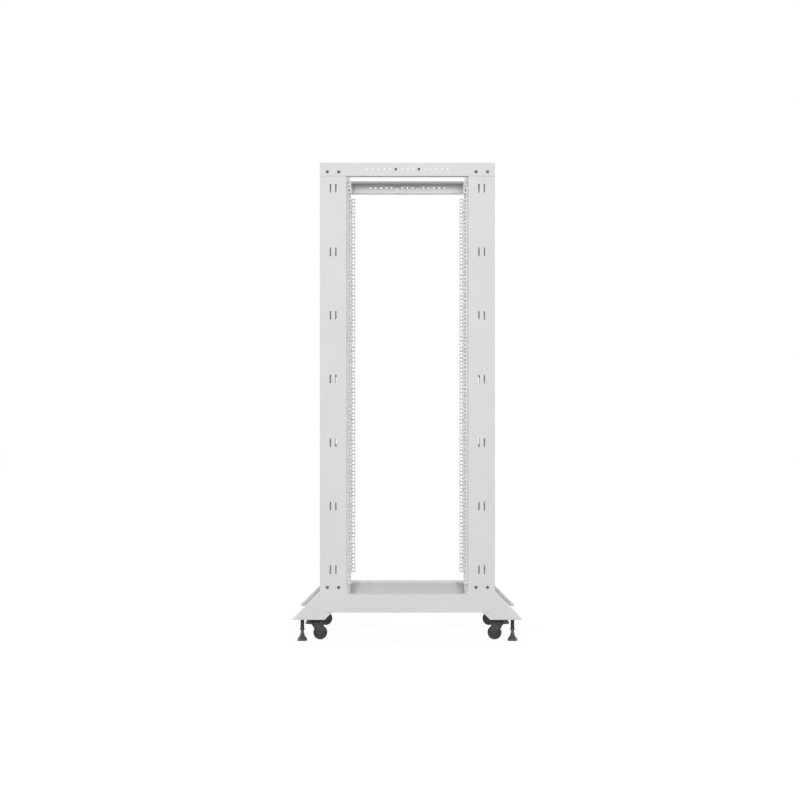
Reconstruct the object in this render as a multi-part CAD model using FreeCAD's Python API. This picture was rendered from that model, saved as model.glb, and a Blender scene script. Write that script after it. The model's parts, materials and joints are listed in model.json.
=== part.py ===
import FreeCAD, Part
import math
import os
from FreeCAD import Vector

# Four post open frame rack in bent sheet steel, on swivel casters and levelling feet.
# Millimetres. Origin at the middle of the footprint on the floor, front faces -Y, +X to the right, +Z up.

# Mounting rails for 19 inch equipment, which set the width and the height
UNIT = 44.45
UNIT_COUNT = 36
UNIT_HOLES = (6.35, 22.225, 38.1)
RAIL_HOLE = 9.5
RAIL_HOLE_SPACING = 465.1
RAIL_HOLE_FROM_EDGE = 7.55
RAIL_FLANGE = 18.0
RAIL_RECESS = 61.0
RAIL_LEG = 37.0
RAIL_SHEET = 2.0
RAIL_END = 4.0
RAIL_START = 44.0

# Overall frame
FRAME_DEPTH = 800.0
RAIL_TO_TOP = 81.8
BEAM_SHEET = 2.0
BOLTED_GAP = 0.2

# Posts, open towards the inside of the rack
POST_WIDTH = 107.0
POST_DEPTH = 90.0
POST_SHEET = 2.0
POST_LIP = 15.0

# Pairs of hook slots in the post faces
SLOT_WIDTH = 6.0
SLOT_HEIGHT = 34.0
SLOT_ROWS = 7
SLOT_END_MARGIN = 99.8
SLOT_FROM_OUTSIDE = 42.4
SLOT_PAIR_SPACING = 21.6

# Top beams, front and rear
TOP_HEIGHT = 54.0
TOP_FLANGE = 45.0
TOP_LIP = 10.0
TOP_HOLE_RADIUS = 3.5
TOP_HOLE_PITCH = 23.0
TOP_HOLE_STEPS = 7
TOP_HOLE_DROP = 25.0

# Top side rails, left and right, with a bolted plate on each end
TOP_SIDE_DROP = 5.0
TOP_SIDE_HEIGHT = 52.0
TOP_SIDE_FLANGE = 45.0
TOP_SIDE_END_PLATE = 3.0
SIDE_SHEET = 2.0

# Base beams, front and rear
BASE_HEIGHT = 71.0
BASE_FLANGE = 68.0
BASE_LIP = 9.0
BASE_END_SHORT = 19.0
BASE_END_STRAIGHT = 16.0

# Welded tabs on the base beams that the posts are screwed to
TAB_SIDE_GAP = 9.5
TAB_HEIGHT = 58.0
TAB_SHEET = 3.0

# Base side rails, left and right, which run into the base beams under their lips
BASE_SIDE_GAP = 3.0

# Splayed feet, boxes of bent sheet that are open at the top under the base beams
FOOT_SHEET = 3.0
FOOT_BOTTOM_Z = 85.0
FOOT_REACH = 109.5
FOOT_UNDER_BEAM = 19.0
FOOT_DROP = 30.0
FOOT_DEPTH = 125.0
FOOT_BEND = 2.0
STUD_NUT_HEIGHT = 13.0
STUD_NUT_FLATS = 24.0
ACCESS_HOLE_RADIUS = 10.5

# Casters
CASTER_FROM_POST = 20.0
CASTER_INSET = 84.0
CASTER_TRAIL = 19.0
WHEEL_RADIUS = 28.0
WHEEL_WIDTH = 22.0
WHEEL_EDGE = 3.0
WHEEL_HUB_RADIUS = 10.0
AXLE_RADIUS = 4.0
AXLE_HEAD_RADIUS = 7.5
AXLE_HEAD = 3.5
RUNNING_GAP = 0.3
FORK_GAP = 2.0
FORK_SHEET = 2.5
FORK_EYE_RADIUS = 13.0
FORK_TOP_FRONT = 22.0
FORK_TOP_BACK = 30.0
FORK_SHOULDER = 20.0
FORK_SHOULDER_RISE = 12.0
CROWN_RADIUS = 24.5
CROWN_HEIGHT = 13.5
KINGPIN_RADIUS = 5.0
PLATE_SIDE = 60.0
PLATE_SHEET = 2.5
PLATE_CORNER = 6.0
RACE_RADIUS = 25.0
RACE_LOWER_RADIUS = 22.0
RACE_HEIGHT = 7.0
RACE_GAP = 0.5

# Levelling feet
LEVELLER_FROM_TIP = 38.5
LEVELLER_INSET = 29.0
STUD_RADIUS = 8.0
STUD_OVER_NUT = 12.0
STUD_CHAMFER = 1.5
NECK_RADIUS = 4.7
HEX_FLATS = 18.0
HEX_HEIGHT = 8.0
HEX_Z = 42.5
PAD_RADIUS = 20.0
PAD_EDGE = 8.5
PAD_FLARE_RADIUS = 10.6
PAD_FLARE_Z = 20.0
PAD_TOP_RADIUS = 6.3
PAD_CONE_Z = 33.0
PAD_TOP_Z = 41.5
PAD_SOCKET_Z = 20.0

# How many flats stand for a turned surface: wheels and pads, shafts, small holes
WHEEL_FLAT_COUNT = 24
SHAFT_FLAT_COUNT = 16
HOLE_FLAT_COUNT = 12

# How far a cutter reaches past what it cuts, and a fused piece into its neighbour
CUT_PAST = 1.0
FUSE_DEPTH = 0.1

# Places that follow from the sizes above
WEB_Y = -FRAME_DEPTH / 2
FACE_Y = WEB_Y + BEAM_SHEET
RAIL_INNER_X = RAIL_HOLE_SPACING / 2 - RAIL_HOLE_FROM_EDGE
POST_INNER_X = RAIL_INNER_X + RAIL_FLANGE
POST_OUTER_X = POST_INNER_X + POST_WIDTH
POST_BACK_Y = FACE_Y + POST_DEPTH
BASE_BOTTOM_Z = FOOT_BOTTOM_Z + FOOT_DROP
BASE_TOP_Z = BASE_BOTTOM_Z + BASE_HEIGHT
RAIL_FIRST_Z = BASE_TOP_Z + RAIL_START
TOP_Z = RAIL_FIRST_Z + UNIT_COUNT * UNIT + RAIL_TO_TOP
POST_BOTTOM_Z = BASE_TOP_Z + BOLTED_GAP
POST_TOP_Z = TOP_Z - BEAM_SHEET - BOLTED_GAP
FOOT_Y = FACE_Y + BOLTED_GAP
FOOT_TIP_X = POST_OUTER_X + FOOT_REACH
FOOT_INNER_X = POST_OUTER_X - FOOT_UNDER_BEAM
FOOT_INNER_TOP_X = FOOT_INNER_X - FOOT_DROP
FOOT_FLOOR_Z = FOOT_BOTTOM_Z + FOOT_SHEET
CASTER_X = POST_OUTER_X + CASTER_FROM_POST
CASTER_Y = WEB_Y + CASTER_INSET
LEVELLER_X = FOOT_TIP_X - LEVELLER_FROM_TIP
LEVELLER_Y = WEB_Y + LEVELLER_INSET
STUD_TOP_Z = FOOT_FLOOR_Z + STUD_NUT_HEIGHT + STUD_OVER_NUT
PLATE_TOP_Z = FOOT_BOTTOM_Z - BOLTED_GAP
PLATE_BOTTOM_Z = PLATE_TOP_Z - PLATE_SHEET
RACE_BOTTOM_Z = PLATE_BOTTOM_Z - RACE_HEIGHT
CROWN_TOP_Z = RACE_BOTTOM_Z - RACE_GAP
CROWN_BOTTOM_Z = CROWN_TOP_Z - CROWN_HEIGHT
FORK_INSIDE = WHEEL_WIDTH / 2 + FORK_GAP
FORK_OUTSIDE = FORK_INSIDE + FORK_SHEET
WHEEL_X = CASTER_X - CASTER_TRAIL

X_AXIS = Vector(1, 0, 0)
Y_AXIS = Vector(0, 1, 0)
Z_AXIS = Vector(0, 0, 1)
ORIGIN = Vector(0, 0, 0)
CORNERS = {"front_left": (-1, 1), "front_right": (1, 1), "rear_left": (-1, -1), "rear_right": (1, -1)}


def box(x0, x1, y0, y1, z0, z1):
    return Part.makeBox(x1 - x0, y1 - y0, z1 - z0, Vector(x0, y0, z0))


def closed(points):
    return Part.makePolygon(points + points[:1])


def lathe(outline, flats, place, axis):
    """Turns a closed outline of (radius, height) about an axis, in a set number of flats."""
    turn = FreeCAD.Rotation(Z_AXIS, axis)
    angles = [2 * math.pi * i / flats for i in range(flats)]

    def ring(radius, height):
        points = [Vector(radius * math.cos(a), radius * math.sin(a), height) for a in angles]
        return [place + turn.multVec(point) for point in points]

    faces = []
    for (r0, h0), (r1, h1) in zip(outline, outline[1:] + outline[:1]):
        if h0 == h1:
            face = Part.Face(closed(ring(max(r0, r1), h0)))
            if min(r0, r1) > 0:
                face = face.cut(Part.Face(closed(ring(min(r0, r1), h0)))).Faces[0]
            faces.append(face)
        elif r0 or r1:
            low, high = ring(r0, h0), ring(r1, h1)
            for i in range(flats):
                j = (i + 1) % flats
                faces.append(Part.Face(closed([low[i], low[j], high[j], high[i]])))
    shell = Part.makeShell(faces)
    shell.sewShape()
    solid = Part.makeSolid(shell)
    if solid.Volume < 0:
        solid.reverse()
    return solid


def upright_disc(radius, flats, x, y, z0, z1):
    return lathe([(0, z0), (radius, z0), (radius, z1), (0, z1)], flats, Vector(x, y, 0), Z_AXIS)


def cross_disc(radius, flats, x, z, y0, y1):
    return lathe([(0, y0), (radius, y0), (radius, y1), (0, y1)], flats, Vector(x, 0, z), Y_AXIS)


def hexagon(flats, x, y, z0, height):
    """An upright hexagonal prism, by the width across its flats."""
    return upright_disc(flats / math.sqrt(3), 6, x, y, z0, z0 + height)


def bent_sheet(inner_points, thickness, length):
    """Extrudes along Z a sheet whose inner surface follows the points, with the metal to their right."""
    path = Part.makePolygon([Vector(a, b, 0) for a, b in inner_points])
    section = path.makeOffset2D(thickness, 0, True, True)
    return section.extrude(Vector(0, 0, length))


def run_along_x(shape, x0):
    """Turns a section drawn in (y, z) and extruded along Z so that it runs along +X from x0."""
    shape = shape.copy()
    shape.Placement = FreeCAD.Placement(Vector(x0, 0, 0), FreeCAD.Rotation(Vector(1, 1, 1), 120))
    return shape


def run_along_y(shape, y1):
    """Turns a section drawn in (x, z) and extruded along Z so that it runs along -Y from y1."""
    shape = shape.copy()
    shape.Placement = FreeCAD.Placement(Vector(0, y1, 0), FreeCAD.Rotation(X_AXIS, 90))
    return shape


def flat_profile(points, y0, thickness):
    """A plate with its outline in (x, z), from y0 towards +Y."""
    face = Part.Face(closed([Vector(x, y0, z) for x, z in points]))
    return face.extrude(Vector(0, thickness, 0))


def edges_through(shape, places, axis):
    """The edges along an axis that pass through the given points, compared across that axis."""
    found = []
    for edge in shape.Edges:
        start, end = edge.Vertexes[0].Point, edge.Vertexes[-1].Point
        run = end - start
        if run.Length > 0.01 and run.cross(axis).Length < 0.001 * run.Length:
            if any((start - place).cross(axis).Length < 0.01 for place in places):
                found.append(edge)
    return found


def placed(shape, side, front):
    """Mirrors a piece of the front right corner to another corner."""
    if side < 0:
        shape = shape.mirror(ORIGIN, X_AXIS)
    if front < 0:
        shape = shape.mirror(ORIGIN, Y_AXIS)
    return shape


def save(name, shape):
    """Writes a piece as one solid."""
    shape.Solids[0].exportStep("parts/" + name + ".step")


def post():
    """A lipped channel that opens towards the inside of the rack, with pairs of slots in its face."""
    near, far = POST_INNER_X + POST_SHEET, POST_OUTER_X - POST_SHEET
    front, back = FACE_Y + POST_SHEET, POST_BACK_Y - POST_SHEET
    path = [(POST_INNER_X + POST_LIP, back), (near, back), (near, front),
            (far, front), (far, back), (POST_OUTER_X - POST_LIP, back)]
    length = POST_TOP_Z - POST_BOTTOM_Z
    body = bent_sheet(path, POST_SHEET, length)
    body.translate(Vector(0, 0, POST_BOTTOM_Z))
    pitch = (length - 2 * SLOT_END_MARGIN) / (SLOT_ROWS - 1)
    outer = POST_OUTER_X - SLOT_FROM_OUTSIDE
    slots = []
    for row in range(SLOT_ROWS):
        z = POST_BOTTOM_Z + SLOT_END_MARGIN + row * pitch
        for x in (outer, outer - SLOT_PAIR_SPACING):
            slots.append(box(x - SLOT_WIDTH / 2, x + SLOT_WIDTH / 2, FACE_Y - CUT_PAST, front + CUT_PAST,
                             z - SLOT_HEIGHT / 2, z + SLOT_HEIGHT / 2))
    return body.cut(Part.makeCompound(slots))


def mounting_rail():
    """An angle with its leg on the post's inner wall. Its flange, with the square holes, faces outwards."""
    face_y = FACE_Y + RAIL_RECESS
    face_back = face_y + RAIL_SHEET
    leg_inner = POST_INNER_X - BOLTED_GAP - RAIL_SHEET
    path = [(RAIL_INNER_X, face_back), (leg_inner, face_back), (leg_inner, face_y + RAIL_LEG)]
    body = bent_sheet(path, RAIL_SHEET, UNIT_COUNT * UNIT + 2 * RAIL_END)
    body.translate(Vector(0, 0, RAIL_FIRST_Z - RAIL_END))
    x, half = RAIL_HOLE_SPACING / 2, RAIL_HOLE / 2
    holes = []
    for unit in range(UNIT_COUNT):
        for height in UNIT_HOLES:
            z = RAIL_FIRST_Z + unit * UNIT + height
            holes.append(box(x - half, x + half, face_y - CUT_PAST, face_back + CUT_PAST, z - half, z + half))
    return body.cut(Part.makeCompound(holes))


def top_beam():
    """A lipped channel that hangs over the post heads, with its flanges cut back between the posts."""
    t = BEAM_SHEET
    flange_end = WEB_Y + TOP_FLANGE
    bottom = TOP_Z - TOP_HEIGHT
    path = [(flange_end - t, TOP_Z - TOP_LIP), (flange_end - t, TOP_Z - t), (FACE_Y, TOP_Z - t),
            (FACE_Y, bottom + t), (flange_end, bottom + t)]
    body = run_along_x(bent_sheet(path, t, 2 * POST_OUTER_X), -POST_OUTER_X)
    clear_x, end_x = POST_INNER_X - BOLTED_GAP, POST_OUTER_X + CUT_PAST
    for x0, x1 in ((-end_x, -clear_x), (clear_x, end_x)):
        body = body.cut(box(x0, x1, FACE_Y, flange_end + CUT_PAST, bottom - CUT_PAST, TOP_Z - t))
    hole_z = TOP_Z - TOP_HOLE_DROP
    y0, y1 = WEB_Y - CUT_PAST, FACE_Y + CUT_PAST
    holes = [cross_disc(TOP_HOLE_RADIUS, HOLE_FLAT_COUNT, step * TOP_HOLE_PITCH, hole_z, y0, y1)
             for step in range(1 - TOP_HOLE_STEPS, TOP_HOLE_STEPS)]
    for side in (-1, 1):
        # The outermost holes locate what is bolted on, so they are truly round
        start = Vector(side * TOP_HOLE_STEPS * TOP_HOLE_PITCH, y0, hole_z)
        holes.append(Part.makeCylinder(TOP_HOLE_RADIUS, y1 - y0, start, Y_AXIS))
    return body.cut(Part.makeCompound(holes))


def side_channel(flange, top, bottom, end):
    """A channel along Y, open outwards, with its web in line with the posts' inner walls."""
    t = SIDE_SHEET
    inner = POST_INNER_X
    path = [(inner + flange, top - t), (inner + t, top - t),
            (inner + t, bottom + t), (inner + flange, bottom + t)]
    return run_along_y(bent_sheet(path, t, 2 * end), end)


def top_side_rail():
    end = -POST_BACK_Y - BOLTED_GAP
    top = TOP_Z - TOP_SIDE_DROP
    bottom = top - TOP_SIDE_HEIGHT
    body = side_channel(TOP_SIDE_FLANGE, top, bottom, end)
    x0, x1 = POST_INNER_X, POST_INNER_X + TOP_SIDE_FLANGE
    for y0 in (-end, end - TOP_SIDE_END_PLATE):
        body = body.fuse(box(x0, x1, y0, y0 + TOP_SIDE_END_PLATE, bottom, top))
    return body.removeSplitter()


def base_side_rail():
    flange = FOOT_INNER_TOP_X - BASE_SIDE_GAP - POST_INNER_X
    top = BASE_TOP_Z - BASE_LIP - BOLTED_GAP
    return side_channel(flange, top, BASE_BOTTOM_Z + BEAM_SHEET + BOLTED_GAP, -FACE_Y - BOLTED_GAP)


def base_beam():
    """A lipped channel with slanted ends, and a welded tab behind each post face."""
    t = BEAM_SHEET
    back = WEB_Y + BASE_FLANGE
    path = [(back - t, BASE_TOP_Z - BASE_LIP), (back - t, BASE_TOP_Z - t), (FACE_Y, BASE_TOP_Z - t),
            (FACE_Y, BASE_BOTTOM_Z + t), (back, BASE_BOTTOM_Z + t)]
    body = run_along_x(bent_sheet(path, t, 2 * POST_OUTER_X), -POST_OUTER_X)
    body = body.cut(base_end_cuts(1)).cut(base_end_cuts(-1))
    width = POST_WIDTH - 2 * (POST_SHEET + TAB_SIDE_GAP)
    tab_y = FACE_Y + POST_SHEET + BOLTED_GAP
    for side in (-1, 1):
        middle = side * (POST_INNER_X + POST_OUTER_X) / 2
        tab = box(middle - width / 2, middle + width / 2, tab_y, tab_y + TAB_SHEET,
                  BASE_TOP_Z - t / 2, BASE_TOP_Z + TAB_HEIGHT)
        body = body.fuse(tab)
    return body


def base_end_cuts(side):
    """What is cut from an end of the base beam: the slanted corner, and the lower flange over the foot."""
    outer, lower = POST_OUTER_X, POST_OUTER_X - BASE_END_SHORT
    below, past_x = BASE_BOTTOM_Z - CUT_PAST, side * (outer + CUT_PAST)
    corner = [(side * outer, BASE_TOP_Z - BASE_END_STRAIGHT), (side * lower, BASE_BOTTOM_Z),
              (side * lower, below), (past_x, below), (past_x, BASE_TOP_Z - BASE_END_STRAIGHT)]
    x0, x1 = sorted((side * (FOOT_INNER_TOP_X - BOLTED_GAP), past_x))
    back = WEB_Y + BASE_FLANGE + CUT_PAST
    flange = box(x0, x1, FACE_Y, back, below, BASE_BOTTOM_Z + BEAM_SHEET + CUT_PAST)
    return flat_profile(corner, WEB_Y - CUT_PAST, BASE_FLANGE + 2 * CUT_PAST).fuse(flange)


def foot():
    """A box with 45 degree flanks and the stud's welded nut. Its front plate laps the base beam's web."""
    slant = FOOT_TIP_X + FOOT_BOTTOM_Z
    inner_slant = FOOT_INNER_X + FOOT_BOTTOM_Z
    post_side = POST_OUTER_X + BOLTED_GAP
    plate_top = BASE_TOP_Z - BEAM_SHEET - BOLTED_GAP
    lower_end = BASE_BOTTOM_Z - BOLTED_GAP
    outline = [(FOOT_TIP_X, FOOT_BOTTOM_Z), (post_side, slant - post_side), (post_side, plate_top),
               (FOOT_INNER_TOP_X, plate_top), (FOOT_INNER_TOP_X, lower_end),
               (inner_slant - lower_end, lower_end), (FOOT_INNER_X, FOOT_BOTTOM_Z)]
    body = flat_profile(outline, FOOT_Y, FOOT_DEPTH)
    body = body.makeFillet(FOOT_BEND, plate_bends(body))
    body = body.cut(foot_hollow(slant, inner_slant))
    x, y, nut_top = LEVELLER_X, LEVELLER_Y, FOOT_FLOOR_Z + STUD_NUT_HEIGHT
    body = body.fuse(hexagon(STUD_NUT_FLATS, x, y, FOOT_FLOOR_Z - FUSE_DEPTH, STUD_NUT_HEIGHT + FUSE_DEPTH))
    thread_z = FOOT_BOTTOM_Z - CUT_PAST
    thread = upright_disc(STUD_RADIUS + RUNNING_GAP, SHAFT_FLAT_COUNT, x, y, thread_z, nut_top)
    access = upright_disc(ACCESS_HOLE_RADIUS, SHAFT_FLAT_COUNT, x, y, nut_top, BASE_TOP_Z)
    return body.cut(thread).cut(access)


def plate_bends(body):
    """The edges where the flanks and the floor bend into the front plate and the inner plate."""
    found = []
    for edge in body.Edges:
        low, high = sorted((v.Point for v in edge.Vertexes), key=lambda point: point.z)
        run = high - low
        upright = abs(run.x) < 0.01
        level = abs(run.z) < 0.01
        if abs(high.y - low.y) < 0.01 and not upright:
            if not level or high.z < FOOT_FLOOR_Z:
                found.append(edge)
    return found


def foot_hollow(slant, inner_slant):
    """The inside of the box, past its top edges, where it has no wall."""
    wall = FOOT_SHEET * math.sqrt(2)
    over = BASE_TOP_Z + FOOT_REACH
    side = FOOT_INNER_TOP_X - CUT_PAST
    outline = [(slant - wall - FOOT_FLOOR_Z, FOOT_FLOOR_Z), (slant - wall - over, over), (side, over),
               (side, inner_slant + wall - side), (inner_slant + wall - FOOT_FLOOR_Z, FOOT_FLOOR_Z)]
    return flat_profile(outline, FOOT_Y + FOOT_SHEET, FOOT_DEPTH - 2 * FOOT_SHEET)


def caster_plate():
    """A square plate with the upper ball race pressed down out of it."""
    x, y, half = CASTER_X, CASTER_Y, PLATE_SIDE / 2
    plate = box(x - half, x + half, y - half, y + half, PLATE_BOTTOM_Z, PLATE_TOP_Z)
    corners = [Vector(x + i * half, y + j * half, 0) for i in (-1, 1) for j in (-1, 1)]
    plate = plate.makeChamfer(PLATE_CORNER, edges_through(plate, corners, Z_AXIS))
    inside_plate = PLATE_TOP_Z - PLATE_SHEET / 2
    outline = [(0, RACE_BOTTOM_Z), (RACE_LOWER_RADIUS, RACE_BOTTOM_Z), (RACE_RADIUS, PLATE_BOTTOM_Z),
               (RACE_RADIUS, inside_plate), (0, inside_plate)]
    race = lathe(outline, WHEEL_FLAT_COUNT, Vector(x, y, 0), Z_AXIS)
    bore_z, bore_top = RACE_BOTTOM_Z - CUT_PAST, PLATE_TOP_Z + CUT_PAST
    bore = upright_disc(KINGPIN_RADIUS + RUNNING_GAP, SHAFT_FLAT_COUNT, x, y, bore_z, bore_top)
    return plate.fuse(race).cut(bore)


def caster_fork():
    """A pressed cup with the kingpin on top, and two cheeks that reach back and down to the axle."""
    x, y, top = CASTER_X, CASTER_Y, CROWN_TOP_Z - FORK_SHEET / 2
    wheel_x, axle_z, eye = WHEEL_X, WHEEL_RADIUS, FORK_EYE_RADIUS
    corner = eye / math.sqrt(2)
    outline = [(x + FORK_TOP_FRONT, top), (x - CROWN_RADIUS, top), (x - FORK_TOP_BACK, CROWN_BOTTOM_Z),
               (wheel_x - FORK_SHOULDER, axle_z + FORK_SHOULDER_RISE), (wheel_x - corner, axle_z - corner),
               (wheel_x, axle_z - eye), (wheel_x + corner, axle_z - corner)]
    inside = CROWN_RADIUS - FORK_SHEET
    cup = [(0, CROWN_TOP_Z), (CROWN_RADIUS, CROWN_TOP_Z), (CROWN_RADIUS, CROWN_BOTTOM_Z),
           (inside, CROWN_BOTTOM_Z), (inside, CROWN_TOP_Z - FORK_SHEET), (0, CROWN_TOP_Z - FORK_SHEET)]
    fork = lathe(cup, WHEEL_FLAT_COUNT, Vector(x, y, 0), Z_AXIS)
    fork = fork.fuse(upright_disc(KINGPIN_RADIUS, SHAFT_FLAT_COUNT, x, y, top, PLATE_TOP_Z - RUNNING_GAP))
    for y0 in (y + FORK_INSIDE, y - FORK_OUTSIDE):
        fork = fork.fuse(flat_profile(outline, y0, FORK_SHEET))
        fork = fork.fuse(cross_disc(eye, SHAFT_FLAT_COUNT, wheel_x, axle_z, y0, y0 + FORK_SHEET))
    reach = FORK_OUTSIDE + CUT_PAST
    bore = cross_disc(AXLE_RADIUS + RUNNING_GAP, SHAFT_FLAT_COUNT, wheel_x, axle_z, y - reach, y + reach)
    return fork.cut(bore).removeSplitter()


def caster_axle():
    """A rivet through the cheeks, with a head on each end."""
    inner = FORK_OUTSIDE + BOLTED_GAP
    outer = inner + AXLE_HEAD
    outline = [(0, -outer), (AXLE_HEAD_RADIUS, -outer), (AXLE_HEAD_RADIUS, -inner), (AXLE_RADIUS, -inner),
               (AXLE_RADIUS, inner), (AXLE_HEAD_RADIUS, inner), (AXLE_HEAD_RADIUS, outer), (0, outer)]
    return lathe(outline, SHAFT_FLAT_COUNT, Vector(WHEEL_X, CASTER_Y, WHEEL_RADIUS), Y_AXIS)


def caster_wheel():
    """A wheel with a chamfered tread, and a hub that runs between the cheeks."""
    bore = AXLE_RADIUS + RUNNING_GAP
    half = WHEEL_WIDTH / 2
    hub = FORK_INSIDE - RUNNING_GAP
    one_side = [(bore, hub), (WHEEL_HUB_RADIUS, hub), (WHEEL_HUB_RADIUS, half),
                (WHEEL_RADIUS - WHEEL_EDGE, half), (WHEEL_RADIUS, half - WHEEL_EDGE)]
    other_side = [(r, -a) for r, a in reversed(one_side)]
    return lathe(one_side + other_side, WHEEL_FLAT_COUNT, Vector(WHEEL_X, CASTER_Y, WHEEL_RADIUS), Y_AXIS)


def leveller_stud():
    """A stud with a hexagon to turn it by. The neck below stands in the pad's socket."""
    foot_z = PAD_SOCKET_Z + BOLTED_GAP
    outline = [(0, foot_z), (NECK_RADIUS, foot_z), (NECK_RADIUS, HEX_Z), (STUD_RADIUS, HEX_Z),
               (STUD_RADIUS, STUD_TOP_Z - STUD_CHAMFER), (STUD_RADIUS - STUD_CHAMFER, STUD_TOP_Z),
               (0, STUD_TOP_Z)]
    stud = lathe(outline, SHAFT_FLAT_COUNT, Vector(LEVELLER_X, LEVELLER_Y, 0), Z_AXIS)
    return stud.fuse(hexagon(HEX_FLATS, LEVELLER_X, LEVELLER_Y, HEX_Z, HEX_HEIGHT))


def leveller_pad():
    """A flared pad with a long neck, and a socket for the stud's neck."""
    socket = NECK_RADIUS + RUNNING_GAP
    outline = [(0, 0), (PAD_RADIUS, 0), (PAD_RADIUS, PAD_EDGE), (PAD_FLARE_RADIUS, PAD_FLARE_Z),
               (PAD_TOP_RADIUS, PAD_CONE_Z), (PAD_TOP_RADIUS, PAD_TOP_Z), (socket, PAD_TOP_Z),
               (socket, PAD_SOCKET_Z), (0, PAD_SOCKET_Z)]
    return lathe(outline, WHEEL_FLAT_COUNT, Vector(LEVELLER_X, LEVELLER_Y, 0), Z_AXIS)


def main():
    os.makedirs("parts", exist_ok=True)
    corner_pieces = {
        "post": post(),
        "mounting_rail": mounting_rail(),
        "foot": foot(),
        "caster_plate": caster_plate(),
        "caster_fork": caster_fork(),
        "caster_axle": caster_axle(),
        "caster_wheel": caster_wheel(),
        "leveller_stud": leveller_stud(),
        "leveller_pad": leveller_pad(),
    }
    for piece, shape in corner_pieces.items():
        for corner, (side, front) in CORNERS.items():
            save(piece + "_" + corner, placed(shape, side, front))
    for piece, shape in {"top_beam": top_beam(), "base_beam": base_beam()}.items():
        save(piece + "_front", shape)
        save(piece + "_rear", placed(shape, 1, -1))
    for piece, shape in {"top_side_rail": top_side_rail(), "base_side_rail": base_side_rail()}.items():
        save(piece + "_right", shape)
        save(piece + "_left", placed(shape, -1, 1))


main()
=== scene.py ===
import bpy
import json
import math
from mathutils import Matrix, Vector


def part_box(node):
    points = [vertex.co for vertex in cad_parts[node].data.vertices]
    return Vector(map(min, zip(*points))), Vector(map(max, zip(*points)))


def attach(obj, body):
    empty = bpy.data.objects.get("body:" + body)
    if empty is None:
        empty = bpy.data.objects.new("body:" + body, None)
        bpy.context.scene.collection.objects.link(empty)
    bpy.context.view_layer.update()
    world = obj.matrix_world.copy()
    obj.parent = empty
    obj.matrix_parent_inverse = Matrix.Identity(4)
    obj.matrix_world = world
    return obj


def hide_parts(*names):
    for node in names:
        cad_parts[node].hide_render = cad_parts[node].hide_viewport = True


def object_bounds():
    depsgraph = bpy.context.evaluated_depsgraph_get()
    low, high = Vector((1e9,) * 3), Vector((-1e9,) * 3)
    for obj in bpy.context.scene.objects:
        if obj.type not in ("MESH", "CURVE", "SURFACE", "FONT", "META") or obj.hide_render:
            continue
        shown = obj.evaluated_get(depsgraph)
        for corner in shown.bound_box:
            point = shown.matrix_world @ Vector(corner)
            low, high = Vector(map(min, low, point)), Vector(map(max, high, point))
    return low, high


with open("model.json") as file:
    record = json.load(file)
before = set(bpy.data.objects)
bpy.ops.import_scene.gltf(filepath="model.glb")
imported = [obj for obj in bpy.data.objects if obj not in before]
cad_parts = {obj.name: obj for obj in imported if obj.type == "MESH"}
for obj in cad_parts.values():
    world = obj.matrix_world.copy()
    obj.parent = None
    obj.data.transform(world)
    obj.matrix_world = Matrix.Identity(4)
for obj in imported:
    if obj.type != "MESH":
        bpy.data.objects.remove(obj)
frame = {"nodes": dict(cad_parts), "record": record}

CAD_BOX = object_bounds()

# Lengths are in metres, in the frame's axes: x to the right, y to the rear, z up from the floor. The rack is the same
# on both sides and at both ends, so a kind of piece takes its place from the front right corner and is mirrored.
SIDES = {"left": -1, "right": 1}
ENDS = {"front": -1, "rear": 1}
CORNERS = {"front_left": (-1, -1), "front_right": (1, -1), "rear_left": (-1, 1), "rear_right": (1, 1)}
QUARTER_TURN = math.pi / 2
HALF_TURN = math.pi
FULL_TURN = 2 * math.pi

# The sheet that fasteners go through. The tab of the base beam lies behind the post's face, with a small gap.
POST_SHEET = 0.002
TAB_DEPTH = 0.0052
BEAM_SHEET = 0.002
END_PLATE = 0.003
FOOT_SHEET = 0.003

# Fasteners. A radius is over the corners or the rim, a height is from the face that the piece stands on, a key is the
# socket's radius over its corners, and washers and shanks are given by their radii.
POST_SCREW = {"radius": 0.0062, "height": 0.0034, "key": 0.0026}
POST_NUT = {"radius": 0.0072, "height": 0.0074, "washer": 0.0078, "shank": 0.0040}
BEAM_BOLT = {"radius": 0.0052, "height": 0.0034, "key": 0.0023}
BEAM_NUT = {"radius": 0.0058, "height": 0.0062, "washer": 0.0090, "shank": 0.0030}
RAIL_SCREW = {"radius": 0.0048, "height": 0.0026, "key": 0.0022}
SIDE_BOLT = {"radius": 0.0058, "height": 0.0046, "washer": 0.0070}
CASTER_BOLT = {"radius": 0.0055, "height": 0.0034, "washer": 0.0062}
CASTER_NUT = {"radius": 0.0056, "height": 0.0058, "washer": 0.0066, "shank": 0.0030}

# Where the fasteners sit
POST_SCREW_X = (0.2745, 0.3200)
POST_FOOT_SCREW_Z = 0.2155
TOP_SCREW_Z = 1.8755
BEAM_BOLT_X = 0.046
BEAM_HOLE_DROP = 0.0258
RAIL_SCREWS = 6
RAIL_SCREW_END = 0.060
RAIL_SCREW_FROM_EDGE = 0.014
RAIL_LEG_FACE = 0.0158
SIDE_BOLT_FROM_WEB = 0.009
SIDE_BOLT_FROM_EDGE = 0.013
CASTER_BOLT_STEP = 0.023

# What heads and nuts share: the straight rim and the socket's floor as shares of a head's height, the flat top as a
# share of its radius, the arc between rim and top, and a hexagon that starts inside its washer
HEAD_RIM = 0.3
SOCKET_FLOOR = 0.25
HEAD_TOP = 0.45
HEAD_ARC_STEPS = 5
HEAD_ROUND = 0.0002
HEXAGON = 6
HEXAGON_CHAMFER = 0.0004
HEXAGON_BASE = 0.001
WASHER_SHEET = 0.0012
WASHER_ROUND = 0.0002
BOLT_END = 0.0024
BOLT_CHAMFER = 0.0006

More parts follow.
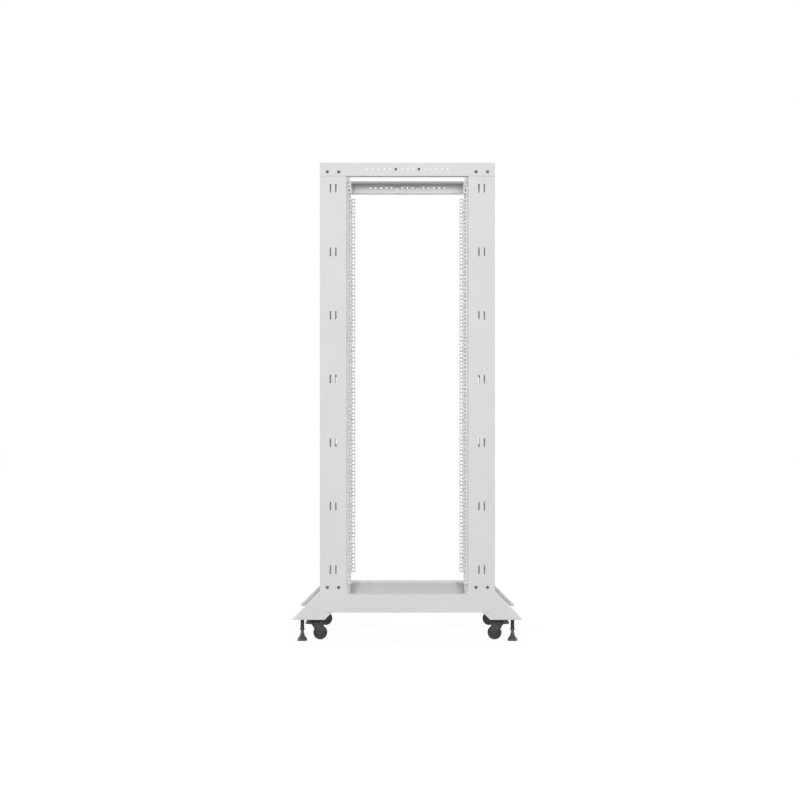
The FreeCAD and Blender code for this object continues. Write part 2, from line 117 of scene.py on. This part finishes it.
# In how many steps turned pieces are spun
WHEEL_STEPS = 72
LARGE_STEPS = 64
AXLE_STEPS = 40
SMALL_STEPS = 32
BOLT_STEPS = 20

# Edges sharper than these angles, in degrees, are rounded and shaded as edges
SHARP = 30.0
PRISM_SHARP = 40.0
SOCKET_SHARP = 50.0

# Modelling: the plane that shrinks to a first point, what counts as one point, how far a cutter reaches past, and how
# far a piece reaches into the one that it is joined to
SEED_SIDE = 0.001
MERGE_DISTANCE = 1e-6
CUT_OVER = 0.001
SUNK = 0.001

# Casters, as in the frame, with the kingpin on the origin. Sections are (radius, height), the cheek is (x, z).
CASTER_TRAIL = 0.019
WHEEL_RADIUS = 0.028
HALF_WHEEL_SECTION = [(0.0043, 0.0127), (0.0098, 0.0127), (0.0104, 0.0100), (0.0185, 0.0088), (0.0205, 0.0106),
                      (0.0252, 0.0110), (0.0272, 0.0100), (WHEEL_RADIUS, 0.0076)]
WHEEL_ROUND = 0.0005
HALF_AXLE_SECTION = [(0.0, 0.0192), (0.0052, 0.0192), (0.0070, 0.0180), (0.0075, 0.0168), (0.0075, 0.0157),
                     (0.0040, 0.0157)]
AXLE_ROUND = 0.0002
PLATE_SHEET = 0.0025
PLATE_GAP = 0.0002
PLATE_DROP = 0.007
PLATE_CORNER = 0.007
PLATE_CORNER_STEPS = 6
PLATE_ROUND = 0.0004
RACE_RADII = (0.0205, 0.0222, 0.0250)
RACE_EDGE = 0.0012
RACE_ROUND = 0.0006
FORK_INSIDE = 0.013
FORK_SHEET = 0.0025
CROWN_RADIUS = 0.0245
CROWN_TOP_Z = 0.0748
CROWN_BOTTOM_Z = 0.0613
CROWN_SHOULDER = (0.003, 0.004)
CROWN_ROUND = 0.0007
KINGPIN_RADIUS = 0.005
KINGPIN_TOP_Z = 0.0845
KINGPIN_ROUND = 0.0003
CHEEK_OUTLINE = [(0.0220, 0.0735), (-0.0245, 0.0735), (-0.0300, 0.0613), (-0.0390, 0.0400), (-0.0290, 0.0195),
                 (-0.0190, 0.0150), (-0.0095, 0.0190)]
CHEEK_CORNER = 0.0042
CHEEK_CORNER_STEPS = 5
CHEEK_ROUND = 0.0006

# Levelling feet, as in the frame. A tooth's crest starts, its crest ends and its foot ends at these shares of a pitch.
STUD_RADIUS = 0.008
STUD_Z = (0.0202, 0.113)
STUD_CHAMFER = 0.001
NECK_RADIUS = 0.0047
HEX_Z = (0.0425, 0.0505)
HEX_CORNER_RADIUS = 0.0104
HEX_CHAMFER = 0.0008
THREAD_PITCH = 0.002
THREAD_DEPTH = 0.0012
THREAD_STEPS = 20
THREAD_SHARES = (0.42, 0.54, 0.96)
THREAD_SUNK = 0.0001
THREAD_BELOW_TOP = 0.0025
PAD_SECTION = [(0.0, 0.0), (0.0200, 0.0), (0.0200, 0.0024), (0.0194, 0.0062), (0.0182, 0.0096), (0.0162, 0.0128),
               (0.0134, 0.0156), (0.0115, 0.0182), (0.0101, 0.0220), (0.0080, 0.0284), (0.0067, 0.0330),
               (0.0062, 0.0350), (0.0062, 0.0407), (0.0056, 0.0415), (0.0050, 0.0415), (0.0050, 0.0200),
               (0.0, 0.0200)]
PAD_ROUND = 0.0004

# Finishes: the grey between two values and the roughness between two others, each by a noise of (scale, detail), and
# rows of relief, finest first, as noise scale, detail, strength and depth
FINISHES = {
    "light_grey_powder_coat": {
        "grey": (0.785, 0.815), "grey_noise": (5.0, 3.0), "roughness": (0.44, 0.58), "roughness_noise": (520.0, 2.0),
        "relief": [(2600.0, 1.0, 0.12, 0.0002), (520.0, 2.0, 0.18, 0.0006)], "metallic": 0.0, "specular": 0.4},
    "dark_coated_steel": {
        "grey": (0.032, 0.047), "grey_noise": (60.0, 3.0), "roughness": (0.50, 0.66), "roughness_noise": (1800.0, 2.0),
        "relief": [(1800.0, 2.0, 0.15, 0.0003)], "metallic": 0.2, "specular": 0.5},
    "black_tread_rubber": {
        "grey": (0.032, 0.048), "grey_noise": (900.0, 3.0), "roughness": (0.6, 0.8), "roughness_noise": (900.0, 3.0),
        "relief": [(900.0, 3.0, 0.25, 0.0004)], "metallic": 0.0, "specular": 0.5},
    "black_pad_plastic": {
        "grey": (0.046, 0.062), "grey_noise": (1400.0, 2.0), "roughness": (0.42, 0.58),
        "roughness_noise": (1400.0, 2.0), "relief": [(1400.0, 2.0, 0.2, 0.0003)], "metallic": 0.0, "specular": 0.5},
    "dark_zinc_screws": {
        "grey": (0.060, 0.095), "grey_noise": (2400.0, 2.0), "roughness": (0.34, 0.50),
        "roughness_noise": (2400.0, 2.0), "relief": [], "metallic": 0.6, "specular": 0.5},
    "bright_zinc_nuts": {
        "grey": (0.50, 0.60), "grey_noise": (700.0, 3.0), "roughness": (0.36, 0.52), "roughness_noise": (700.0, 3.0),
        "relief": [], "metallic": 0.7, "specular": 0.5},
}
RAMP_SPAN = (0.3, 0.7)

# The photograph's frame, 800 by 800 pixels, and its camera
PHOTO_SIDE = 800
PHOTO_SCALE = 0.003995
CENTRE_PIXEL = (407.4, 410.0)
HORIZON_Z = 0.924
DEPTH_RATIO = 1.0855
SENSOR_WIDTH = 36.0
VIEW_END = 200.0

# The floor: what it throws back as light, and what the camera sees of it, which is a glow with faint shadows
FLOOR_HALF = 40.0
FLOOR_BOUNCE = 0.2
FLOOR_GLOW = 0.92
FLOOR_SHADE = 0.12

# Light: an even surround, a soft lamp high in front, two small lamps far off in front, and broad soft lights from the
# sides, by their bearing from the front, height and width in degrees, and their strength
AMBIENT = 0.42
SURROUND_SEEN = 1.0
KEY_PLACE = (-0.6, -4.2, 4.6)
KEY_TARGET = (0, 0, 1.2)
KEY_SIZE = 2.5
KEY_POWER = 40.0
FRONT_LAMPS = {"front_left": -0.6, "front_right": 0.6}
FRONT_LAMP_DISTANCE = 13.0
FRONT_LAMP_Z = 1.36
FRONT_LAMP_SIZE = 0.4
FRONT_LAMP_POWER = 352.0
BROAD_LIGHTS = {"left": (-105.0, 15.0, 40.0, 1.36), "right": (105.0, 15.0, 40.0, 1.36)}


def choose(*objects):
    """Selects these objects and no others, the first one active."""
    if bpy.context.object and bpy.context.object.mode != "OBJECT":
        bpy.ops.object.mode_set(mode="OBJECT")
    bpy.ops.object.select_all(action="DESELECT")
    for obj in objects:
        obj.select_set(True)
    if objects:
        bpy.context.view_layer.objects.active = objects[0]


def discard(*models):
    choose(*models)
    bpy.ops.object.delete()


def settle(obj, name):
    """Names a piece, and puts its place into its mesh."""
    choose(obj)
    obj.name = name
    obj.data.name = name
    bpy.ops.object.transform_apply(location=True, rotation=True, scale=True)
    return obj


def joined(pieces, name):
    choose(*pieces)
    bpy.ops.object.join()
    return settle(pieces[0], name)


def copy_at(model, name, place, turn=(0, 0, 0)):
    """A copy of a model with its own mesh, turned about the origin and then moved to its place."""
    piece = model.copy()
    piece.data = model.data.copy()
    bpy.context.scene.collection.objects.link(piece)
    piece.rotation_euler = turn
    piece.location = place
    return settle(piece, name)


def cut_by(obj, cutter):
    choose(obj)
    hole = obj.modifiers.new("hole", "BOOLEAN")
    hole.operation = "DIFFERENCE"
    hole.solver = "EXACT"
    hole.object = cutter
    bpy.ops.object.modifier_apply(modifier=hole.name)
    discard(cutter)
    return obj


def bevelled(obj, width, segments=2, angle=SHARP):
    """Rounds the edges that are sharper than the angle, and shades the rest smooth."""
    choose(obj)
    if width:
        bevel = obj.modifiers.new("bevel", "BEVEL")
        bevel.width = width
        bevel.segments = segments
        bevel.limit_method = "ANGLE"
        bevel.angle_limit = math.radians(angle)
        bpy.ops.object.modifier_apply(modifier=bevel.name)
    bpy.ops.object.shade_smooth_by_angle(angle=math.radians(angle))
    return obj


def drawn(outline):
    """A wire through the points, made by extruding a vertex. It is left in edit mode, all selected."""
    choose()
    bpy.ops.mesh.primitive_plane_add(size=SEED_SIDE)
    bpy.ops.object.mode_set(mode="EDIT")
    bpy.ops.mesh.select_mode(type="VERT")
    bpy.ops.mesh.merge(type="CENTER")
    bpy.ops.transform.translate(value=outline[0])
    for here, there in zip(outline, outline[1:]):
        step = tuple(b - a for a, b in zip(here, there))
        bpy.ops.mesh.extrude_region_move(TRANSFORM_OT_translate={"value": step})
    bpy.ops.mesh.select_all(action="SELECT")
    return bpy.context.object


def closed_upright(outline):
    """The points of an upright outline in the xz plane, with the first one again at the end."""
    return [(x, 0.0, z) for x, z in outline + outline[:1]]


def turned(name, outline, steps, round_off=0.0):
    """Spins an outline of (radius, height) about the upright axis through the origin."""
    obj = drawn(closed_upright(outline))
    bpy.ops.mesh.spin(steps=steps, angle=FULL_TURN, center=(0, 0, 0), axis=(0, 0, 1))
    bpy.ops.mesh.select_all(action="SELECT")
    bpy.ops.mesh.remove_doubles(threshold=MERGE_DISTANCE)
    bpy.ops.mesh.normals_make_consistent(inside=False)
    bpy.ops.object.mode_set(mode="OBJECT")
    return bevelled(settle(obj, name), round_off)


def prism(name, corners, radius, z0, z1, chamfer):
    """An upright prism with chamfered ends, by the radius over its corners."""
    choose()
    middle = (0, 0, (z0 + z1) / 2)
    bpy.ops.mesh.primitive_cylinder_add(vertices=corners, radius=radius, depth=z1 - z0, location=middle)
    return bevelled(settle(bpy.context.object, name), chamfer, angle=PRISM_SHARP)


def link_material(obj, material):
    obj.data.materials.clear()
    obj.data.materials.append(material)


def fitted(piece, body, finish, nodes=()):
    """Hands a finished piece to its body, with its finish and the nodes that it stands for."""
    link_material(piece, finish)
    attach(piece, body)
    if nodes:
        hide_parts(*nodes)


def noise(tree, vector, scale, detail):
    node = tree.nodes.new("ShaderNodeTexNoise")
    node.inputs["Scale"].default_value = scale
    node.inputs["Detail"].default_value = detail
    tree.links.new(vector, node.inputs["Vector"])
    return node.outputs["Fac"]


def grey_ramp(tree, factor, low, high):
    """A blend between two greys over the middle of the factor."""
    node = tree.nodes.new("ShaderNodeValToRGB")
    for element, position, grey in zip(node.color_ramp.elements, RAMP_SPAN, (low, high)):
        element.position = position
        element.color = (grey, grey, grey, 1)
    tree.links.new(factor, node.inputs["Fac"])
    return node.outputs["Color"]


def spread(tree, factor, low, high):
    """A number between low and high as the factor goes from 0 to 1."""
    node = tree.nodes.new("ShaderNodeMapRange")
    node.inputs["To Min"].default_value = low
    node.inputs["To Max"].default_value = high
    tree.links.new(factor, node.inputs["Value"])
    return node.outputs["Result"]


def bump(tree, height, strength, distance, normal):
    node = tree.nodes.new("ShaderNodeBump")
    node.inputs["Strength"].default_value = strength
    node.inputs["Distance"].default_value = distance
    tree.links.new(height, node.inputs["Height"])
    if normal is not None:
        tree.links.new(normal, node.inputs["Normal"])
    return node.outputs["Normal"]


def finish_of(name):
    """The material of a row of FINISHES, in object coordinates."""
    row = FINISHES[name]
    material = bpy.data.materials.new(name)
    material.use_nodes = True
    tree = material.node_tree
    shader = tree.nodes["Principled BSDF"]
    where = tree.nodes.new("ShaderNodeTexCoord").outputs["Object"]
    tone = grey_ramp(tree, noise(tree, where, *row["grey_noise"]), *row["grey"])
    tree.links.new(tone, shader.inputs["Base Color"])
    roughness = spread(tree, noise(tree, where, *row["roughness_noise"]), *row["roughness"])
    tree.links.new(roughness, shader.inputs["Roughness"])
    normal = None
    for scale, detail, strength, depth in row["relief"]:
        normal = bump(tree, noise(tree, where, scale, detail), strength, depth, normal)
    if normal is not None:
        tree.links.new(normal, shader.inputs["Normal"])
    shader.inputs["Metallic"].default_value = row["metallic"]
    shader.inputs["Specular IOR Level"].default_value = row["specular"]
    return material


def button_head(name, radius, height, key):
    """A domed head that stands on the origin and points up, with a hexagon socket."""
    rim, top = HEAD_RIM * height, HEAD_TOP * radius
    outline = [(0.0, 0.0), (radius, 0.0), (radius, rim)]
    for step in range(1, HEAD_ARC_STEPS + 1):
        angle = QUARTER_TURN * step / (HEAD_ARC_STEPS + 1)
        outline.append((top + (radius - top) * math.cos(angle), rim + (height - rim) * math.sin(angle)))
    outline += [(top, height), (0.0, height)]
    head = turned(name, outline, SMALL_STEPS)
    socket = prism("socket", HEXAGON, key, SOCKET_FLOOR * height, height + CUT_OVER, 0.0)
    return bevelled(cut_by(head, socket), HEAD_ROUND, segments=1, angle=SOCKET_SHARP)


def hex_head(name, radius, height, washer):
    """A hexagon head on a plain washer, standing on the origin."""
    section = [(0.0, 0.0), (washer, 0.0), (washer, WASHER_SHEET), (0.0, WASHER_SHEET)]
    ring = turned("washer", section, SMALL_STEPS, WASHER_ROUND)
    top = prism(name, HEXAGON, radius, HEXAGON_BASE, height, HEXAGON_CHAMFER)
    return joined([top, ring], name)


def nut_on_bolt(name, radius, height, washer, shank):
    """A nut on its washer, standing on the origin, with the end of the bolt through it."""
    nut = hex_head(name, radius, height, washer)
    tip = height + BOLT_END
    section = [(0.0, 0.0), (shank, 0.0), (shank, tip - BOLT_CHAMFER), (shank - BOLT_CHAMFER, tip), (0.0, tip)]
    return joined([nut, turned("end", section, BOLT_STEPS)], name)


def beam_face_and_hole():
    """How far the top beams' outer faces are from the middle, and the height of their row of holes."""
    low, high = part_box("top_beam_front")
    return -low[1], high[2] - BEAM_HOLE_DROP


def corner_group(model, sx, sy, rows, turn):
    """A post's four screws or nuts: at both places across its face, one at each (depth, height) of the rows."""
    return [copy_at(model, "fastener", (sx * x, sy * y, z), turn) for x in POST_SCREW_X for y, z in rows]


def screws_and_bolts(finish):
    """What holds the bolted frame together. Heads point out of the face that they sit on."""
    post_screw = button_head("post_screw", **POST_SCREW)
    beam_bolt = button_head("beam_bolt", **BEAM_BOLT)
    rail_screw = button_head("rail_screw", **RAIL_SCREW)
    side_bolt = hex_head("side_bolt", **SIDE_BOLT)
    post_y = -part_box("post_front_right")[0][1]
    web_y, hole_z = beam_face_and_hole()
    rows = [(post_y, POST_FOOT_SCREW_Z), (web_y, TOP_SCREW_Z)]
    for end, sy in ENDS.items():
        out = (-sy * QUARTER_TURN, 0, 0)
        for side, sx in SIDES.items():
            screws = joined(corner_group(post_screw, sx, sy, rows, out), f"post_screws_{end}_{side}")
            bolt = copy_at(beam_bolt, f"beam_bolt_{end}_{side}", (sx * BEAM_BOLT_X, sy * web_y, hole_z), out)
            column = joined(rail_screws(rail_screw, sx, sy), f"rail_screws_{end}_{side}")
            pair = joined(side_bolts(side_bolt, sx, sy), f"side_rail_bolts_{end}_{side}")
            for piece in (screws, bolt, column, pair):
                fitted(piece, "frame", finish)
    discard(post_screw, beam_bolt, rail_screw, side_bolt)


def rail_screws(model, sx, sy):
    """A column of screws through a mounting rail's leg into the post's inner wall."""
    low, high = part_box("mounting_rail_front_right")
    x = low[0] + RAIL_LEG_FACE
    y = -(high[1] - RAIL_SCREW_FROM_EDGE)
    start, stop = low[2] + RAIL_SCREW_END, high[2] - RAIL_SCREW_END
    heights = [start + (stop - start) * i / (RAIL_SCREWS - 1) for i in range(RAIL_SCREWS)]
    return [copy_at(model, "screw", (sx * x, sy * y, z), (0, -sx * QUARTER_TURN, 0)) for z in heights]


def side_bolts(model, sx, sy):
    """Bolts through a top side rail's end plate into the post's lip."""
    low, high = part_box("top_side_rail_right")
    x, y = low[0] + SIDE_BOLT_FROM_WEB, high[1] - END_PLATE
    heights = (low[2] + SIDE_BOLT_FROM_EDGE, high[2] - SIDE_BOLT_FROM_EDGE)
    return [copy_at(model, "bolt", (sx * x, sy * y, z), (sy * QUARTER_TURN, 0, 0)) for z in heights]


def nuts(finish):
    """The nuts of the post screws and beam bolts, on the inner side of the sheet that each one holds."""
    post_nut = nut_on_bolt("post_nut", **POST_NUT)
    beam_nut = nut_on_bolt("beam_nut", **BEAM_NUT)
    post_y = -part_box("post_front_right")[0][1]
    web_y, hole_z = beam_face_and_hole()
    rows = [(post_y - TAB_DEPTH, POST_FOOT_SCREW_Z), (post_y - POST_SHEET, TOP_SCREW_Z)]
    for end, sy in ENDS.items():
        inwards = (sy * QUARTER_TURN, 0, 0)
        for side, sx in SIDES.items():
            group = joined(corner_group(post_nut, sx, sy, rows, inwards), f"post_nuts_{end}_{side}")
            place = (sx * BEAM_BOLT_X, sy * (web_y - BEAM_SHEET), hole_z)
            nut = copy_at(beam_nut, f"beam_nut_{end}_{side}", place, inwards)
            for piece in (group, nut):
                fitted(piece, "frame", finish)
    discard(post_nut, beam_nut)


def corner_place(node):
    """The middle of a front right node, as distances from the middle of the rack."""
    low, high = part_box(node)
    return (low[0] + high[0]) / 2, -(low[1] + high[1]) / 2


def casters(steel, rubber, screws):
    """Smooth casters in place of the solids with flats. Each trails towards the middle of the rack."""
    plate, fork, wheel, axle, bolts = plate_model(), fork_model(), wheel_model(), axle_model(), caster_bolts_model()
    cx, cy = corner_place("caster_plate_front_right")
    for corner, (sx, sy) in CORNERS.items():
        kinds = ((plate, "swivel_plate", "frame", "caster_steel", steel, ["caster_plate"]),
                 (bolts, "caster_bolts", "frame", "fastener_steel", screws, []),
                 (fork, "fork", f"caster_{corner}", "caster_steel", steel, ["caster_fork"]),
                 (axle, "axle", f"caster_{corner}", "caster_steel", steel, ["caster_axle"]),
                 (wheel, "tyre_and_hub", f"wheel_{corner}", "wheel_rubber", rubber, ["caster_wheel"]))
        turn = (0, 0, 0 if sx > 0 else HALF_TURN)
        for model, name, body, slot, finish, nodes in kinds:
            piece = copy_at(model, f"{name}_{corner}", (sx * cx, sy * cy, 0), turn)
            fitted(piece, body, finish, [f"{node}_{corner}" for node in nodes])
    discard(plate, fork, wheel, axle, bolts)


def on_axle(model, name):
    """Lays a turned model across, on the axle of a caster whose kingpin stands on the origin."""
    laid = copy_at(model, name, (-CASTER_TRAIL, 0, WHEEL_RADIUS), (QUARTER_TURN, 0, 0))
    discard(model)
    return laid


def both_ways(outline):
    """An outline of (radius, height) with its mirror image below it."""
    return outline + [(r, -h) for r, h in reversed(outline)]


def wheel_model():
    wheel = turned("wheel", both_ways(HALF_WHEEL_SECTION), WHEEL_STEPS, WHEEL_ROUND)
    return on_axle(wheel, "wheel_model")


def axle_model():
    axle = turned("axle", both_ways(HALF_AXLE_SECTION), AXLE_STEPS, AXLE_ROUND)
    return on_axle(axle, "axle_model")


def plate_model():
    """A square plate with rounded corners, and the ball race pressed down out of it."""
    low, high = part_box("caster_plate_front_right")
    side = high[0] - low[0]
    choose()
    bpy.ops.mesh.primitive_cube_add(size=1.0, location=(0, 0, high[2] - PLATE_SHEET / 2))
    bpy.context.object.scale = (side, side, PLATE_SHEET)
    plate = settle(bpy.context.object, "plate")
    bpy.ops.object.mode_set(mode="EDIT")
    bpy.ops.mesh.select_all(action="DESELECT")
    bpy.ops.object.mode_set(mode="OBJECT")
    for edge in plate.data.edges:
        a, b = (plate.data.vertices[v].co for v in edge.vertices)
        edge.select = abs(a.z - b.z) > PLATE_SHEET / 2
    bpy.ops.object.mode_set(mode="EDIT")
    bpy.ops.mesh.select_mode(type="EDGE")
    bpy.ops.mesh.bevel(offset=PLATE_CORNER, segments=PLATE_CORNER_STEPS, affect="EDGES")
    bpy.ops.object.mode_set(mode="OBJECT")
    bevelled(plate, PLATE_ROUND)
    under = high[2] - PLATE_SHEET
    foot, edge, top = RACE_RADII
    section = [(0.0, low[2]), (foot, low[2]), (edge, low[2] + RACE_EDGE), (top, under), (top, under + SUNK),
               (0.0, under + SUNK)]
    race = turned("race", section, LARGE_STEPS, RACE_ROUND)
    return joined([plate, race], "plate_model")


def fork_model():
    """A pressed cup under the ball race, its kingpin, and two cheeks that carry the axle."""
    top, inside, under = CROWN_TOP_Z, CROWN_RADIUS - FORK_SHEET, CROWN_TOP_Z - FORK_SHEET
    across, down = CROWN_SHOULDER
    cup = turned("cup", [(0.0, top), (CROWN_RADIUS - across, top), (CROWN_RADIUS, top - down),
                         (CROWN_RADIUS, CROWN_BOTTOM_Z), (inside, CROWN_BOTTOM_Z), (inside, under), (0.0, under)],
                 LARGE_STEPS, CROWN_ROUND)
    pin = turned("pin", [(0.0, top - SUNK), (KINGPIN_RADIUS, top - SUNK), (KINGPIN_RADIUS, KINGPIN_TOP_Z),
                         (0.0, KINGPIN_TOP_Z)], SMALL_STEPS, KINGPIN_ROUND)
    cheeks = [cheek(y) for y in (FORK_INSIDE, -FORK_INSIDE - FORK_SHEET)]
    return joined([cup, pin] + cheeks, "fork_model")


def cheek(y):
    """One side of the fork: its outline is drawn, filled, rounded at the corners and thickened."""
    obj = drawn(closed_upright(CHEEK_OUTLINE))
    bpy.ops.mesh.remove_doubles(threshold=MERGE_DISTANCE)
    bpy.ops.mesh.select_all(action="SELECT")
    bpy.ops.mesh.edge_face_add()
    bpy.ops.mesh.bevel(offset=CHEEK_CORNER, segments=CHEEK_CORNER_STEPS, affect="VERTICES")
    bpy.ops.mesh.select_all(action="SELECT")
    bpy.ops.mesh.extrude_region_move(TRANSFORM_OT_translate={"value": (0, FORK_SHEET, 0)})
    bpy.ops.mesh.select_all(action="SELECT")
    bpy.ops.mesh.normals_make_consistent(inside=False)
    bpy.ops.object.mode_set(mode="OBJECT")
    obj.location = (0, y, 0)
    return bevelled(settle(obj, "cheek"), CHEEK_ROUND)


def caster_bolts_model():
    """Four bolts up through the caster plate, and their nuts on the foot's floor."""
    low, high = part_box("caster_plate_front_right")
    under, over = low[2] + PLATE_DROP, high[2] + PLATE_GAP + FOOT_SHEET
    bolt = hex_head("bolt", **CASTER_BOLT)
    nut = nut_on_bolt("nut", **CASTER_NUT)
    group = []
    for x in (-CASTER_BOLT_STEP, CASTER_BOLT_STEP):
        for y in (-CASTER_BOLT_STEP, CASTER_BOLT_STEP):
            group.append(copy_at(bolt, "bolt", (x, y, under), (HALF_TURN, 0, 0)))
            group.append(copy_at(nut, "nut", (x, y, over)))
    discard(bolt, nut)
    return joined(group, "caster_bolts_model")


def levelling_feet(screws, plastic):
    """Threaded studs and smooth pads in place of the plain solids."""
    stud, pad = stud_model(), turned("pad_model", PAD_SECTION, LARGE_STEPS, PAD_ROUND)
    cx, cy = corner_place("leveller_pad_front_right")
    for corner, (sx, sy) in CORNERS.items():
        place = (sx * cx, sy * cy, 0)
        body = f"leveller_{corner}"
        piece = copy_at(stud, f"threaded_stud_{corner}", place)
        fitted(piece, body, screws, [f"leveller_stud_{corner}"])
        piece = copy_at(pad, f"levelling_pad_{corner}", place)
        fitted(piece, body, plastic, [f"leveller_pad_{corner}"])
    discard(stud, pad)


def stud_model():
    """A core, the hexagon to turn it by, and a helical thread above that."""
    root = STUD_RADIUS - THREAD_DEPTH
    low, high = STUD_Z
    core = turned("core", [(0.0, low), (NECK_RADIUS, low), (NECK_RADIUS, HEX_Z[0]), (root, HEX_Z[0]),
                           (root, high - STUD_CHAMFER), (root - STUD_CHAMFER, high), (0.0, high)], SMALL_STEPS)
    hexagon = prism("hexagon", HEXAGON, HEX_CORNER_RADIUS, HEX_Z[0], HEX_Z[1], HEX_CHAMFER)
    tooth = thread(root - THREAD_SUNK, HEX_Z[1] - SUNK, high - THREAD_BELOW_TOP)
    return joined([core, hexagon, tooth], "stud_model")


def thread(root, low, high):
    """One tooth of the thread, wound up the stud, with both ends closed."""
    crest_start, crest_end, foot_end = (low + share * THREAD_PITCH for share in THREAD_SHARES)
    obj = drawn([(root, 0, low), (STUD_RADIUS, 0, crest_start), (STUD_RADIUS, 0, crest_end), (root, 0, foot_end)])
    bpy.ops.mesh.edge_face_add()
    bpy.ops.object.mode_set(mode="OBJECT")
    screw = obj.modifiers.new("screw", "SCREW")
    screw.axis = "Z"
    screw.steps = THREAD_STEPS
    screw.render_steps = THREAD_STEPS
    screw.screw_offset = THREAD_PITCH
    screw.iterations = int((high - low) / THREAD_PITCH)
    bpy.ops.object.modifier_apply(modifier=screw.name)
    bpy.ops.object.mode_set(mode="EDIT")
    bpy.ops.mesh.select_all(action="SELECT")
    bpy.ops.mesh.remove_doubles(threshold=MERGE_DISTANCE)
    bpy.ops.mesh.normals_make_consistent(inside=False)
    bpy.ops.object.mode_set(mode="OBJECT")
    return bevelled(settle(obj, "thread"), 0.0)


def camera():
    """Level and head-on, at the distance that the far beams' size gives, shifted to the photo's framing."""
    front_y, rear_y = CAD_BOX[0][1], CAD_BOX[1][1]
    distance = (rear_y - front_y) / (DEPTH_RATIO - 1)
    data = bpy.data.cameras.new("camera")
    data.sensor_width = SENSOR_WIDTH
    data.lens = SENSOR_WIDTH * distance / (PHOTO_SIDE * PHOTO_SCALE)
    data.shift_x = (PHOTO_SIDE / 2 - CENTRE_PIXEL[0]) / PHOTO_SIDE
    data.shift_y = (CENTRE_PIXEL[1] - PHOTO_SIDE / 2) / PHOTO_SIDE
    data.clip_end = VIEW_END
    eye = bpy.data.objects.new("camera", data)
    eye.location = (0, front_y - distance, HORIZON_Z)
    eye.rotation_euler = (QUARTER_TURN, 0, 0)
    bpy.context.scene.collection.objects.link(eye)
    bpy.context.scene.camera = eye


def seen(tree):
    """1 for the rays of the camera and of mirror-like metal, and 0 for those that carry light."""
    path = tree.nodes.new("ShaderNodeLightPath")
    either = tree.nodes.new("ShaderNodeMath")
    either.operation = "MAXIMUM"
    tree.links.new(path.outputs["Is Camera Ray"], either.inputs[0])
    tree.links.new(path.outputs["Is Glossy Ray"], either.inputs[1])
    return either.outputs[0]


def diffuse(tree, grey):
    node = tree.nodes.new("ShaderNodeBsdfDiffuse")
    node.inputs["Color"].default_value = (grey, grey, grey, 1)
    return node.outputs[0]


def floor():
    """A pale floor that the camera and the metal see as white, and that still takes the rack's shadow."""
    choose()
    bpy.ops.mesh.primitive_plane_add(size=2 * FLOOR_HALF)
    plane = settle(bpy.context.object, "studio_floor")
    material = bpy.data.materials.new("white_floor")
    material.use_nodes = True
    tree = material.node_tree
    tree.nodes.clear()
    glow = tree.nodes.new("ShaderNodeEmission")
    glow.inputs["Strength"].default_value = FLOOR_GLOW
    both = tree.nodes.new("ShaderNodeAddShader")
    tree.links.new(diffuse(tree, FLOOR_SHADE), both.inputs[0])
    tree.links.new(glow.outputs[0], both.inputs[1])
    mix = tree.nodes.new("ShaderNodeMixShader")
    tree.links.new(seen(tree), mix.inputs["Fac"])
    tree.links.new(diffuse(tree, FLOOR_BOUNCE), mix.inputs[1])
    tree.links.new(both.outputs[0], mix.inputs[2])
    out = tree.nodes.new("ShaderNodeOutputMaterial")
    tree.links.new(mix.outputs[0], out.inputs["Surface"])
    link_material(plane, material)


def surround():
    """A world that looks white and gives less light than it shows."""
    world = bpy.data.worlds.new("studio")
    bpy.context.scene.world = world
    world.use_nodes = True
    tree = world.node_tree
    background = tree.nodes["Background"]
    background.inputs["Color"].default_value = (1, 1, 1, 1)
    level = spread(tree, seen(tree), AMBIENT, SURROUND_SEEN)
    tree.links.new(level, background.inputs["Strength"])


def lights():
    soft_lamp("key", KEY_PLACE, KEY_TARGET, KEY_SIZE, KEY_POWER)
    for name, x in FRONT_LAMPS.items():
        place = (x, CAD_BOX[0][1] - FRONT_LAMP_DISTANCE, FRONT_LAMP_Z)
        soft_lamp(name, place, (0, 0, FRONT_LAMP_Z), FRONT_LAMP_SIZE, FRONT_LAMP_POWER)
    for name, (bearing, height, width, strength) in BROAD_LIGHTS.items():
        broad_light(name, math.radians(bearing), math.radians(height), math.radians(width), strength)


def aim(lamp, direction):
    """Turns a lamp so that it shines along a direction, and puts it in the scene."""
    lamp.rotation_euler = direction.to_track_quat("-Z", "Y").to_euler()
    bpy.context.scene.collection.objects.link(lamp)


def soft_lamp(name, place, target, size, power):
    data = bpy.data.lights.new(name, "AREA")
    data.size = size
    data.energy = power
    lamp = bpy.data.objects.new(name, data)
    lamp.location = place
    aim(lamp, Vector(target) - Vector(place))


def broad_light(name, bearing, height, width, strength):
    """A distant light of a given angular width. Its bearing is counted from the front, to the right."""
    data = bpy.data.lights.new(name, "SUN")
    data.angle = width
    data.energy = strength
    across = math.cos(height)
    source = Vector((math.sin(bearing) * across, -math.cos(bearing) * across, math.sin(height)))
    aim(bpy.data.objects.new(name, data), -source)


def main():
    steel = finish_of("dark_coated_steel")
    rubber = finish_of("black_tread_rubber")
    plastic = finish_of("black_pad_plastic")
    screws = finish_of("dark_zinc_screws")
    finishes = {"frame_paint": finish_of("light_grey_powder_coat"), "caster_steel": steel, "wheel_rubber": rubber,
                "fastener_steel": screws, "leveller_pad": plastic}
    for part in frame["record"]["subparts"]:
        link_material(frame["nodes"][part["node"]], finishes[part["material_slot"]])
    screws_and_bolts(screws)
    nuts(finish_of("bright_zinc_nuts"))
    casters(steel, rubber, screws)
    levelling_feet(screws, plastic)
    camera()
    floor()
    surround()
    lights()


main()
bpy.context.scene.view_settings.view_transform = "Standard"
